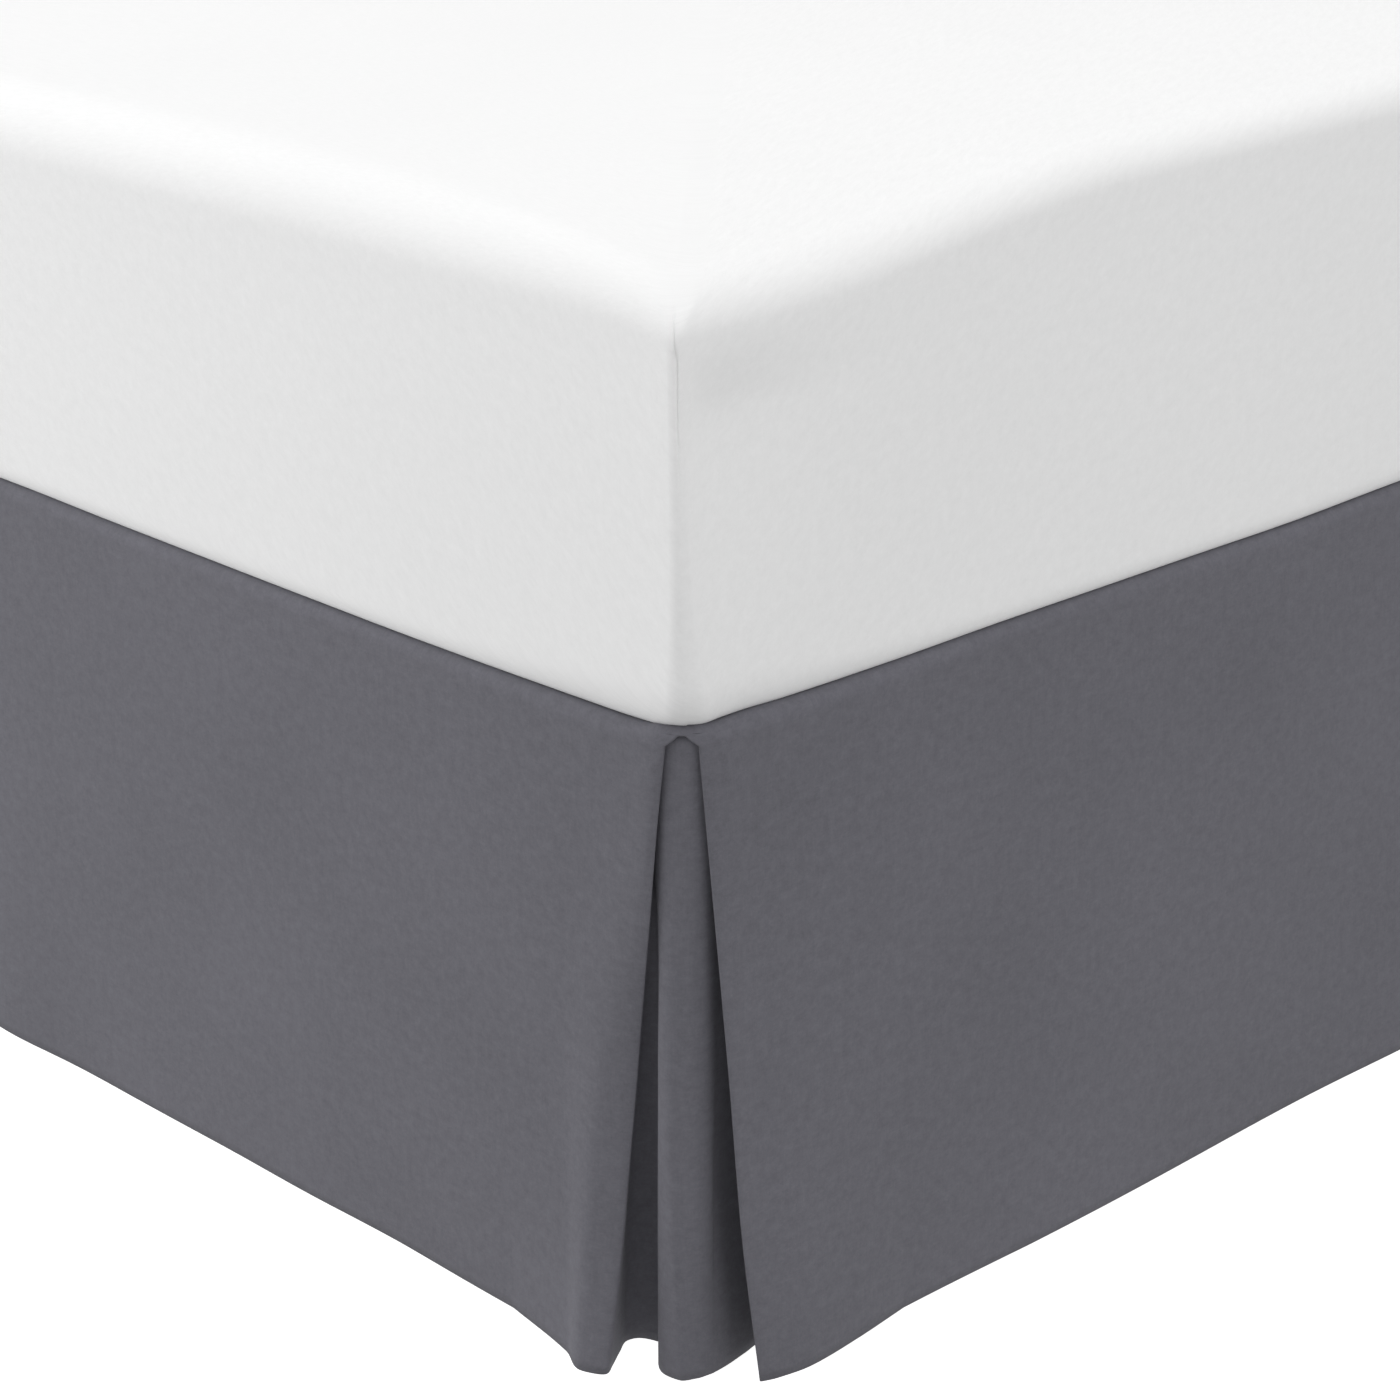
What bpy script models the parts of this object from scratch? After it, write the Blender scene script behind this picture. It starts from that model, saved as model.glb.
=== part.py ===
# Bed skirt with open corner pleats, hung on a plain box spring, steel frame and mattress.
# Metres, +Z up, floor at z = 0. The head of the bed is towards +Y and its foot towards -Y.
# The skirt is a deck sheet, a foot drop, two side drops and an insert behind each corner pleat.

import math

import bmesh
import bpy
import numpy as np
from mathutils import Matrix

COLLECTION = "bed_skirt"

# Driving dimensions
MATTRESS_WIDTH = 1.524
MATTRESS_LENGTH = 2.032
MATTRESS_DEPTH = 0.254
SPRING_DEPTH = 0.2286
SPRING_LOW = 0.152          # underside of the box spring above the floor
SKIRT_EASE = 0.002          # the drops hang this far outside the mattress
CLOTH = 0.0012              # thickness of every cloth piece
SEAT_GAP = 0.0003           # between pieces that rest on each other
HEM_HEIGHT = 0.006
FOLD_REACH = 0.0170         # how far the corner folds swell out of the foot face at the hem

SKIRT_HALF_WIDTH = MATTRESS_WIDTH / 2 + SKIRT_EASE
SKIRT_LENGTH = MATTRESS_LENGTH + 2 * SKIRT_EASE
FOOT_FACE_Y = -SKIRT_LENGTH / 2 + FOLD_REACH / 2
HEAD_END_Y = FOOT_FACE_Y + SKIRT_LENGTH
BED_MIDDLE_Y = (FOOT_FACE_Y + HEAD_END_Y) / 2
SPRING_TOP = SPRING_LOW + SPRING_DEPTH
TOP_Z = SPRING_TOP + SEAT_GAP + CLOTH / 2          # middle of the deck's thickness
MATTRESS_LOW = TOP_Z + CLOTH / 2 + SEAT_GAP

# The drops turn in over the box spring's edge in a quarter of an ellipse, then run flat to the deck
TURN_REACH = 0.008
TURN_HEIGHT = 0.009
TURN_START_Z = TOP_Z - TURN_HEIGHT
TURN_ANGLES = (0, 20, 42, 65, 90)
ARCH_ANGLE = 42             # the pleat's mouth has closed by this angle of the turn
TURN_CENTRE_DEPTH = CLOTH / 2 + TURN_REACH
LIP_END_DEPTH = 0.016
INNER_LIP = 0.001           # flat part of the layers under the drop
LAYER_STEP = 0.0022         # from the middle of one layer to the middle of the next

CORNER_RADIUS = 0.032       # the skirt's corner, seen from above
DECK_CORNER = 0.022
DECK_CORNER_STEPS = 8
QUARTER_ARC = CORNER_RADIUS * math.pi / 4
SPRING_INSET = 0.012        # from the drop's outer face to the box spring's side
SPRING_CORNER = 0.060
SPRING_TOP_ROUND = 0.020
SPRING_LOW_ROUND = 0.006
MATTRESS_CORNER = 0.020
MATTRESS_TOP_ROUND = 0.040
MATTRESS_LOW_ROUND = 0.006
CORNER_STEPS = 6
LOW_ROUND_STEPS = 3
TOP_ROUND_STEPS = 5
MERGE_WITHIN = 0.00001

CLOSED_AT = 0.0011          # half the distance between the two creases above the mouth
CROWDED_WITHIN = 0.060
ARCH_Z = TURN_START_Z
RAIL_Z = 0.160              # below this the folds have room to swing inwards
ROW_HEIGHTS = (HEM_HEIGHT, 0.045, 0.085, 0.125, RAIL_Z, 0.230, 0.300, 0.350)
TABLE_START = 0.145         # the fold tables start this far from the corner's middle
WAVE_START = 0.100          # the flats' waves reach their full depth this far past the tables
FOOT_COLUMNS = 6
SIDE_COLUMNS = 16
FOOT_WAVE = (0.0018, 0.49)  # depth and length of the slow waves of the hem along the foot
SIDE_WAVE = (-0.0022, 0.55)

# Steel frame
RAIL_X = 0.66
RAIL_WIDTH = 0.030
RAIL_HEIGHT = 0.040
RAIL_HALF_LENGTH = 0.950
CROSS_Y = {"foot": -0.900, "middle": 0.0, "head": 0.900}
LEG_RADIUS = 0.018
LEG_FOOT_RADIUS = 0.026
LEG_FOOT_HEIGHT = 0.012
LEG_FOOT_RIM = 0.007        # height of the upright rim of a leg's foot
LEG_STEPS = 20

# Fold lines, in millimetres. Each row is one vertical line of the cloth: its distance along the
# skirt's outline from the middle of the corner (negative on the foot, positive on the side) and its
# depth behind the face, at the pleat's mouth, at the box spring's underside and at the hem.
# "closes" is its share of the mouth's closing at the top, and "steps" the columns up to the next row.
COLUMNS = ("mouth_s", "mouth_d", "rail_s", "rail_d", "hem_s", "hem_d", "closes", "steps")

FOOT_FOLD = {
    "flat":        (-145, 0.6, -145, 0.6, -145, 0.6, 0.0, 2),
    "swell":       (-82, 0.6, -95, 0.0, -89, -10.4, 0.0, 4),
    "roll_start":  (-20, 0.6, -60, -3.2, -70, -16.4, 0.3, 2),
    "roll_front":  (-12.2, 0.7, -46.0, -3.0, -60.5, -15.0, 1.0, 2),
    "roll_edge":   (-11.3, 1.7, -41.0, 1.4, -57.3, -10.0, 1.0, 2),
    "roll_back":   (-12.2, 2.7, -45.5, 5.4, -60.0, -3.0, 1.0, 2),
    "return":      (-20, 2.8, -56, 5.4, -66, 8.5, 0.5, 2),
    "behind":      (-45, 2.8, -66, 3.4, -71.5, 17.0, 0.0, 2),
    "valley":      (-60, 2.8, -75, 3.0, -81, 20.8, 0.0, 2),
    "inner_seam":  (-75, 3.15, -84, 3.15, -91, 21.2, 0.0, 1),
}

INSERT_FOLD = {
    "foot_seam":   (-82, 4.75, -91, 4.75, -98.0, 22.8, 0.0, 1),
    "seam_turn":   (-75, 4.75, -84, 4.75, -91.0, 23.0, 0.0, 2),
    "foot_wing":   (-62, 5.0, -68, 6.2, -73, 26.0, 0.0, 2),
    "groove_in":   (-50, 5.0, -53, 9.8, -58.5, 33.0, 0.0, 2),
    "groove":      (-40, 5.0, -43, 12.6, -49, 29.0, 0.0, 2),
    "shoulder":    (-32, 5.0, -35.5, 9.6, -45.5, 18.6, 0.0, 2),
    "front":       (-22, 5.0, -29, 8.0, -35, 14.8, 0.0, 2),
    "front_bend":  (-12, 5.0, -20, 8.4, -23, 16.4, 0.0, 2),
    "ridge":       (0, 5.0, -9, 9.6, -14, 20.2, 0.0, 2),
    "side_bend":   (12, 5.0, 6, 10.2, 6, 24.4, 0.0, 2),
    "side":        (25, 5.0, 22, 9.6, 33, 25.4, 0.0, 2),
    "side_back":   (38, 5.0, 38, 8.0, 50, 27.8, 0.0, 2),
    "side_wing":   (52, 5.0, 55, 6.0, 66, 30.4, 0.0, 2),
    "turn":        (64, 5.0, 70, 5.1, 82, 26.0, 0.0, 2),
    "side_seam":   (75, 4.75, 80, 4.75, 92, 15.6, 0.0, 1),
}

SIDE_FOLD = {
    "inner_seam":   (75, 3.15, 80, 3.15, 90.6, 12.8, 0.0, 2),
    "return":       (45, 2.8, 55, 2.9, 70, 8.6, 0.0, 2),
    "near":         (20, 2.8, 34, 3.0, 49, 4.6, 0.5, 2),
    "crease_back":  (8.2, 2.7, 23.4, 2.8, 38.6, 3.0, 1.0, 2),
    "crease":       (7.0, 1.7, 22.0, 1.7, 37.2, 1.8, 1.0, 2),
    "crease_front": (8.2, 0.7, 23.4, 0.6, 38.8, 0.4, 1.0, 2),
    "edge":         (18, 0.6, 33, 0.1, 46, -2.8, 0.5, 4),
    "swell":        (52, 0.6, 62, -1.6, 67, -6.6, 0.0, 2),
    "swell_end":    (98, 0.6, 102, -0.6, 104, -4.4, 0.0, 2),
    "flat":         (145, 0.6, 145, 0.6, 145, 0.6, 0.0, 1),
}


def clear_scene():
    """Remove every object, so that the script can be run again."""
    for old in list(bpy.data.objects):
        bpy.data.objects.remove(old, do_unlink=True)


def make_material(name, color, roughness, metallic=0.0):
    """Principled material with a plain colour."""
    material = bpy.data.materials.new(name)
    material.use_nodes = True
    shader = material.node_tree.nodes["Principled BSDF"]
    shader.inputs["Base Color"].default_value = (*color, 1.0)
    shader.inputs["Roughness"].default_value = roughness
    shader.inputs["Metallic"].default_value = metallic
    return material


def add_object(name, mesh, material, collection):
    """Wrap a mesh in a named object with one material."""
    obj = bpy.data.objects.new(name, mesh)
    obj.data.materials.append(material)
    collection.objects.link(obj)
    return obj


# ---------------------------------------------------------------- cloth

def outline_point(along, depth):
    """Point of the skirt's outline seen from above, measured from the foot corner at +X.

    The outline runs straight along the foot face, round an arc of CORNER_RADIUS and straight along
    the side. "along" is the distance on it from the arc's middle and "depth" the distance inwards.
    """
    along = np.asarray(along, dtype=float)
    depth = np.asarray(depth, dtype=float)
    on_arc = np.clip(along, -QUARTER_ARC, QUARTER_ARC)
    angle = on_arc / CORNER_RADIUS - math.pi / 4
    out_x = np.cos(angle)
    out_y = np.sin(angle)
    run = along - on_arc
    x = -CORNER_RADIUS + (CORNER_RADIUS - depth) * out_x - run * out_y
    y = CORNER_RADIUS + (CORNER_RADIUS - depth) * out_y + run * out_x
    return x, y


def level_curve(levels, values, height):
    """Smooth curve through the values at the levels, with no overshoot, read at one height."""
    levels = np.asarray(levels, dtype=float)
    step = np.diff(levels)
    slope = [(values[i + 1] - values[i]) / step[i] for i in range(len(step))]
    tangent = [slope[0]]
    for before, after in zip(slope[:-1], slope[1:]):
        same_way = before * after > 0
        total = np.where(same_way, before + after, 1.0)
        tangent.append(np.where(same_way, 2 * before * after / total, 0.0))
    tangent.append(slope[-1])
    height = min(max(height, levels[0]), levels[-1])
    i = min(int(np.searchsorted(levels, height, side="right")) - 1, len(step) - 1)
    t = (height - levels[i]) / step[i]
    return (
        values[i] * (1 + 2 * t) * (1 - t) ** 2
        + values[i + 1] * t ** 2 * (3 - 2 * t)
        + step[i] * (tangent[i] * t * (1 - t) ** 2 - tangent[i + 1] * t ** 2 * (1 - t))
    )


def curve_through(points, steps):
    """Smooth plan curve through the points, with the given number of columns in each stretch."""
    length = np.maximum(np.linalg.norm(np.diff(points, axis=0), axis=1), 1e-9)
    slope = np.diff(points, axis=0) / length[:, None]
    tangent = np.empty_like(points)
    tangent[0] = slope[0]
    tangent[-1] = slope[-1]
    tangent[1:-1] = (points[2:] - points[:-2]) / (length[1:] + length[:-1])[:, None]
    samples = []
    for i, count in enumerate(steps[:-1]):
        t = (np.arange(int(count)) / count)[:, None]
        samples.append(
            points[i] * (1 + 2 * t) * (1 - t) ** 2
            + points[i + 1] * t ** 2 * (3 - 2 * t)
            + length[i] * (tangent[i] * t * (1 - t) ** 2 - tangent[i + 1] * t ** 2 * (1 - t))
        )
    samples.append(points[-1:])
    return np.vstack(samples)


def fold_plan(fold, height, closing):
    """Plan curve of a fold table at one height: distance along the outline and depth, in metres."""
    table = {key: np.array(column) for key, column in zip(COLUMNS, zip(*fold.values()))}
    levels = (HEM_HEIGHT, RAIL_Z, ARCH_Z)
    along = level_curve(levels, (table["hem_s"], table["rail_s"], table["mouth_s"]), height) / 1000
    depth = level_curve(levels, (table["hem_d"], table["rail_d"], table["mouth_d"]), height) / 1000
    nearest = np.min(np.abs(along))
    to_middle = -np.sign(along) * (nearest - CLOSED_AT) * table["closes"]
    along = along + closing * to_middle
    return curve_through(np.stack([along, depth], axis=1), table["steps"])


def flat_plan(start, end, columns, wave, height):
    """Plan curve of the flat of a drop: nearly straight, with slow waves that grow to the hem."""
    wave_depth, wave_length = wave
    t = np.arange(1, columns + 1) / columns
    along = start + (end - start) * t
    grown = np.clip((ARCH_Z - height) / (ARCH_Z - HEM_HEIGHT), 0, 1) ** 2
    away = np.minimum(1.0, np.abs(along - start) / WAVE_START)
    sway = wave_depth * grown * away * np.sin(2 * math.pi * np.abs(along - start) / wave_length)
    return np.stack([along, CLOTH / 2 + sway], axis=1)


def keep_apart(along, depth):
    """Spread the lines next to the corner's middle as the arc tightens inwards, so none touch."""
    tightening = CORNER_RADIUS / (CORNER_RADIUS - depth) - 1
    near = np.clip(1 - np.abs(along) / CROWDED_WITHIN, 0, 1)
    return along + np.sign(along) * CLOSED_AT * tightening * near


def sheet_rows(plan):
    """Rows of a hanging sheet, hem to lip: its plan at each height, then the turn and the lip."""
    rows = []
    for height in ROW_HEIGHTS:
        along, depth = plan(height, 0.0).T
        rows.append((along, depth, np.full_like(along, height)))
    for degrees in TURN_ANGLES:
        part = min(degrees / ARCH_ANGLE, 1.0)
        closing = 1 - math.sqrt(max(1 - part ** 2, 0.0))
        along, depth = plan(ARCH_Z, closing).T
        behind = depth - CLOTH / 2
        reach = TURN_CENTRE_DEPTH - depth
        rise = TURN_HEIGHT - behind
        angle = math.radians(degrees)
        turned = TURN_CENTRE_DEPTH - reach * math.cos(angle)
        spread = keep_apart(along, turned)
        rows.append((spread, turned, TURN_START_Z + rise * math.sin(angle)))
    _, depth, height = rows[-1]
    top_layer = np.clip((height - (TOP_Z - LAYER_STEP)) / LAYER_STEP, 0, 1)
    lip = depth + INNER_LIP + (LIP_END_DEPTH - TURN_CENTRE_DEPTH - INNER_LIP) * top_layer ** 2
    rows.append((keep_apart(along, lip), lip, height))
    return rows


def sheet_mesh(name, rows, side):
    """Grid mesh from rows of (along, depth, height), on the +X side or mirrored to the -X side."""
    count = len(rows[0][0])
    corners = []
    for along, depth, height in rows:
        x, y = outline_point(along, depth)
        corners.append(np.stack([side * (SKIRT_HALF_WIDTH + x), FOOT_FACE_Y + y, height], axis=1))
    quads = [
        (r * count + c, r * count + c + 1, (r + 1) * count + c + 1, (r + 1) * count + c)
        for r in range(len(rows) - 1)
        for c in range(count - 1)
    ]
    mesh = bpy.data.meshes.new(name)
    mesh.from_pydata(np.vstack(corners).tolist(), [], quads)
    mesh.validate()
    mesh.shade_smooth()
    return mesh


def thicken(obj):
    """Give a sheet the cloth's thickness, half to each side."""
    solidify = obj.modifiers.new("thickness", "SOLIDIFY")
    solidify.thickness = CLOTH
    solidify.offset = 0.0


def make_foot_drop(material, collection):
    """Foot drop: one half with its fold at +X, mirrored across the bed's middle."""
    middle = -(SKIRT_HALF_WIDTH - CORNER_RADIUS + QUARTER_ARC)

    def plan(height, closing):
        flat = flat_plan(-TABLE_START, middle, FOOT_COLUMNS, FOOT_WAVE, height)
        return np.vstack([flat[::-1], fold_plan(FOOT_FOLD, height, closing)])

    rows = sheet_rows(plan)
    obj = add_object("drop_foot", sheet_mesh("drop_foot", rows, 1), material, collection)
    mirror = obj.modifiers.new("other half", "MIRROR")
    mirror.merge_threshold = MERGE_WITHIN
    thicken(obj)
    return obj


def make_side_drop(name, side, material, collection):
    """Side drop: its return and crease at the foot corner, then the flat run to the head end."""
    head = SKIRT_LENGTH - CORNER_RADIUS + QUARTER_ARC

    def plan(height, closing):
        flat = flat_plan(TABLE_START, head, SIDE_COLUMNS, SIDE_WAVE, height)
        return np.vstack([fold_plan(SIDE_FOLD, height, closing), flat])

    rows = sheet_rows(plan)
    obj = add_object(name, sheet_mesh(name, rows, side), material, collection)
    thicken(obj)
    return obj


def make_insert(name, side, material, collection):
    """Insert behind a corner pleat, sewn to the returns of the foot drop and the side drop."""

    def plan(height, closing):
        return fold_plan(INSERT_FOLD, height, closing)

    rows = sheet_rows(plan)
    obj = add_object(name, sheet_mesh(name, rows, side), material, collection)
    thicken(obj)
    return obj


def make_deck(material, collection):
    """Deck sheet: a flat outline with round foot corners, ending at the lips of the drops."""
    inset = LIP_END_DEPTH + SEAT_GAP
    half_width = SKIRT_HALF_WIDTH - inset
    foot_y = FOOT_FACE_Y + inset
    radius = DECK_CORNER
    angles = np.radians(np.linspace(-90, 0, DECK_CORNER_STEPS + 1))
    arc_x = half_width - radius + radius * np.cos(angles)
    arc_y = foot_y + radius + radius * np.sin(angles)
    right = list(zip(arc_x, arc_y)) + [(half_width, HEAD_END_Y)]
    left = [(-x, y) for x, y in reversed(right)]
    curve = bpy.data.curves.new("deck outline", "CURVE")
    curve.dimensions = "2D"
    curve.fill_mode = "BOTH"
    curve.extrude = CLOTH / 2
    spline = curve.splines.new("POLY")
    spline.points.add(len(right + left) - 1)
    for point, (x, y) in zip(spline.points, right + left):
        point.co = (x, y, 0.0, 1.0)
    spline.use_cyclic_u = True
    outline = bpy.data.objects.new("deck outline", curve)
    collection.objects.link(outline)
    outline.location = (0, 0, TOP_Z)
    mesh = bpy.data.meshes.new_from_object(outline.evaluated_get(bpy.context.evaluated_depsgraph_get()))
    bm = bmesh.new()
    bm.from_mesh(mesh)
    bmesh.ops.remove_doubles(bm, verts=bm.verts, dist=MERGE_WITHIN)
    bmesh.ops.recalc_face_normals(bm, faces=bm.faces)
    bm.to_mesh(mesh)
    bm.free()
    deck = add_object("deck", mesh, material, collection)
    deck.location = outline.location
    bpy.data.objects.remove(outline, do_unlink=True)
    return deck


# ---------------------------------------------------------------- mattress and box spring

def rounded_ring(half_x, half_y, radius):
    """Corners of a rounded rectangle, anticlockwise, centred on the origin."""
    ring = []
    for start, sx, sy in ((0, 1, 1), (90, -1, 1), (180, -1, -1), (270, 1, -1)):
        for angle in np.radians(start + np.linspace(0, 90, CORNER_STEPS + 1)):
            x = sx * (half_x - radius) + radius * math.cos(angle)
            y = sy * (half_y - radius) + radius * math.sin(angle)
            ring.append((x, y))
    return ring


def rounded_block(name, half_x, half_y, corner, low, high, low_round, high_round, material, collection):
    """Upright block with round corners whose lower and upper edges are rounded too."""
    profile = []
    for degrees in np.linspace(90, 0, LOW_ROUND_STEPS + 1):
        angle = math.radians(degrees)
        profile.append((low_round * (1 - math.cos(angle)), low + low_round * (1 - math.sin(angle))))
    for degrees in np.linspace(0, 90, TOP_ROUND_STEPS + 1):
        angle = math.radians(degrees)
        profile.append((high_round * (1 - math.cos(angle)), high - high_round * (1 - math.sin(angle))))
    bm = bmesh.new()
    rings = []
    for inset, z in profile:
        ring = rounded_ring(half_x - inset, half_y - inset, corner)
        rings.append([bm.verts.new((x, y, z)) for x, y in ring])
    for below, above in zip(rings[:-1], rings[1:]):
        for i in range(len(below)):
            j = (i + 1) % len(below)
            bm.faces.new((below[i], below[j], above[j], above[i]))
    bm.faces.new(list(reversed(rings[0])))
    bm.faces.new(rings[-1])
    mesh = bpy.data.meshes.new(name)
    bm.to_mesh(mesh)
    bm.free()
    obj = add_object(name, mesh, material, collection)
    obj.location = (0, BED_MIDDLE_Y, 0)
    return obj


def make_mattress(material, collection):
    """Mattress: a filled block with round edges."""
    return rounded_block(
        "mattress", MATTRESS_WIDTH / 2, MATTRESS_LENGTH / 2, MATTRESS_CORNER,
        MATTRESS_LOW, MATTRESS_LOW + MATTRESS_DEPTH, MATTRESS_LOW_ROUND, MATTRESS_TOP_ROUND,
        material, collection,
    )


def make_box_spring(material, collection):
    """Box spring: stands inside the drops and carries the deck."""
    return rounded_block(
        "box_spring", SKIRT_HALF_WIDTH - SPRING_INSET, SKIRT_LENGTH / 2 - SPRING_INSET, SPRING_CORNER,
        SPRING_LOW, SPRING_TOP, SPRING_LOW_ROUND, SPRING_TOP_ROUND,
        material, collection,
    )


# ---------------------------------------------------------------- steel frame

def make_box(name, size, centre, material, collection):
    """Plain box of the given size."""
    bm = bmesh.new()
    bmesh.ops.create_cube(bm, size=1.0)
    bmesh.ops.transform(bm, matrix=Matrix.Diagonal((*size, 1.0)), verts=bm.verts)
    mesh = bpy.data.meshes.new(name)
    bm.to_mesh(mesh)
    bm.free()
    obj = add_object(name, mesh, material, collection)
    obj.location = centre
    return obj


def make_rails(material, collection):
    """Two side rails under the box spring and three cross rails between them."""
    top = SPRING_LOW - SEAT_GAP
    middle_z = top - RAIL_HEIGHT / 2
    for word, side in (("right", 1), ("left", -1)):
        size = (RAIL_WIDTH, 2 * RAIL_HALF_LENGTH, RAIL_HEIGHT)
        make_box(f"rail_{word}", size, (side * RAIL_X, 0, middle_z), material, collection)
    cross_length = 2 * RAIL_X - RAIL_WIDTH - 2 * SEAT_GAP
    for word, y in CROSS_Y.items():
        size = (cross_length, RAIL_WIDTH, RAIL_HEIGHT)
        make_box(f"cross_rail_{word}", size, (0, y, middle_z), material, collection)


def make_legs(material, collection):
    """Six turned legs with a wider foot, under the side rails where the cross rails meet them."""
    top = SPRING_LOW - SEAT_GAP - RAIL_HEIGHT - SEAT_GAP
    profile = [
        (0.0, 0.0, top),
        (LEG_RADIUS, 0.0, top),
        (LEG_RADIUS, 0.0, LEG_FOOT_HEIGHT),
        (LEG_FOOT_RADIUS, 0.0, LEG_FOOT_RIM),
        (LEG_FOOT_RADIUS, 0.0, 0.0),
        (0.0, 0.0, 0.0),
    ]
    edges = [(i, i + 1) for i in range(len(profile) - 1)]
    mesh = bpy.data.meshes.new("leg")
    mesh.from_pydata(profile, edges, [])
    for side_word, side in (("right", 1), ("left", -1)):
        for row_word, y in CROSS_Y.items():
            leg = bpy.data.objects.new(f"leg_{side_word}_{row_word}", mesh)
            collection.objects.link(leg)
            leg.location = (side * RAIL_X, y, 0)
            turn = leg.modifiers.new("turn", "SCREW")
            turn.steps = LEG_STEPS
            turn.render_steps = LEG_STEPS
            turn.use_merge_vertices = True
            turn.merge_threshold = MERGE_WITHIN
    mesh.materials.append(material)


def main():
    """Build every piece into one collection."""
    clear_scene()
    collection = bpy.data.collections.new(COLLECTION)
    bpy.context.scene.collection.children.link(collection)
    grey_cloth = make_material("grey_cloth", (0.135, 0.133, 0.155), 0.90)
    white_cloth = make_material("white_cloth", (0.80, 0.80, 0.80), 0.88)
    deck_cloth = make_material("deck_cloth", (0.60, 0.59, 0.56), 0.90)
    plain_cloth = make_material("plain_cloth", (0.60, 0.59, 0.56), 0.90)
    steel = make_material("painted_steel", (0.03, 0.03, 0.032), 0.45)
    make_deck(deck_cloth, collection)
    make_foot_drop(grey_cloth, collection)
    for word, side in (("right", 1), ("left", -1)):
        make_side_drop(f"drop_{word}", side, grey_cloth, collection)
        make_insert(f"pleat_insert_{word}", side, grey_cloth, collection)
    make_mattress(white_cloth, collection)
    make_box_spring(plain_cloth, collection)
    make_rails(steel, collection)
    make_legs(steel, collection)


main()
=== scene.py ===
import math

import bmesh
import bpy
import numpy as np
from mathutils import Matrix, Vector


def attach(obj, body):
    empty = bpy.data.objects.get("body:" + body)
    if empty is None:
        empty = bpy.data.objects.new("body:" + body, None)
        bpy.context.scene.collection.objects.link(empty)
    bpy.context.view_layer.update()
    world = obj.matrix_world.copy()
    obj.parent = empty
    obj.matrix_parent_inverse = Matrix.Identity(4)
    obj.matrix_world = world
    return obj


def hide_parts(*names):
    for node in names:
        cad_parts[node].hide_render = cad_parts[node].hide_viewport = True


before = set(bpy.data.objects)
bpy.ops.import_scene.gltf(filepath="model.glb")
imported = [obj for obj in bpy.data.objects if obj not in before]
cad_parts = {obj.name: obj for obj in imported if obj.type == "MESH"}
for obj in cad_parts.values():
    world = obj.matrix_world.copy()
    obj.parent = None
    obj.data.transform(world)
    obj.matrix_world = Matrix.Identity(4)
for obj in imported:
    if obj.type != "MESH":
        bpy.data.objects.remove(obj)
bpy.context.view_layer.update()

print("bed skirt: frame loaded")

# ---- shader nodes by plain expressions

class Wire:
    # a shader socket that takes part in sums, so that mask * 0.5 adds its Math node
    def __init__(self, nodes, socket):
        self.nodes = nodes
        self.socket = socket

    def sum(self, operation, first, second):
        return self.nodes.add("ShaderNodeMath", {"operation": operation}, {0: first, 1: second})

    def __add__(self, other):
        return self.sum("ADD", self, other)

    def __radd__(self, other):
        return self.sum("ADD", other, self)

    def __sub__(self, other):
        return self.sum("SUBTRACT", self, other)

    def __mul__(self, other):
        return self.sum("MULTIPLY", self, other)


class Nodes:
    # adds nodes to one node tree
    def __init__(self, tree):
        self.tree = tree

    def add(self, kind, settings=None, inputs=None, output=0):
        # settings first, then each socket's value or link
        node = self.tree.nodes.new(kind)
        for setting, value in (settings or {}).items():
            setattr(node, setting, value)
        for socket, value in (inputs or {}).items():
            if isinstance(value, Wire):
                self.tree.links.new(value.socket, node.inputs[socket])
            else:
                node.inputs[socket].default_value = value
        return Wire(self, node.outputs[output])

    def sine(self, wire):
        return self.add("ShaderNodeMath", {"operation": "SINE"}, {0: wire})

    def noise(self, place, scale, detail=2.0, roughness=0.5):
        inputs = {"Vector": place, "Scale": scale, "Detail": detail, "Roughness": roughness}
        return self.add("ShaderNodeTexNoise", {}, inputs)

    def blend(self, factor, first, second):
        inputs = {"Factor": factor, 6: first, 7: second}
        return self.add("ShaderNodeMix", {"data_type": "RGBA"}, inputs, 2)

    def bump(self, height, strength, distance):
        inputs = {"Height": height, "Strength": strength, "Distance": distance}
        return self.add("ShaderNodeBump", {}, inputs)


class Finish(Nodes):
    # one material, with the nodes that vary it over the surface
    def __init__(self, name, **fixed):
        self.material = bpy.data.materials.new(name)
        self.material.use_nodes = True
        super().__init__(self.material.node_tree)
        self.shader = self.tree.nodes["Principled BSDF"]
        for socket, value in fixed.items():
            self.shader.inputs[socket].default_value = value

    def feed(self, **wires):
        for socket, wire in wires.items():
            self.tree.links.new(wire.socket, self.shader.inputs[socket.replace("_", " ")])
        return self.material


# ---- camera, light and floor

view = {
    "place": (1.9715, -2.1055, 1.0239),
    "right": (0.6815, 0.7315, -0.02152),
    "up": (-0.24632, 0.25698, 0.9345),
    "lens": 92.98,
    "sensor": 36.0,
    "nearest": 0.05,
    "farthest": 100.0,
}
studio = {
    "skyAbove": 0.86, "skyBelow": 0.28,
    "floorColor": (0.90, 0.90, 0.90), "floorRough": 0.75, "floorGlow": 1.0, "floorHalf": 30.0,
    "aim": (0.76, -1.00, 0.30),
    "lamps": {  # degrees round from the foot side, degrees up, distance, size, power
        "left": (-60, 10, 3.5, 1.6, 32.0),
        "frontLeft": (-15, 10, 3.5, 1.6, 8.5),
        "right": (85, 10, 3.5, 1.6, 13.5),
        "farRight": (130, 10, 3.5, 1.6, 5.5),
        "overhead": (0, 88, 5.5, 5.0, 50.0),
    },
}

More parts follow.
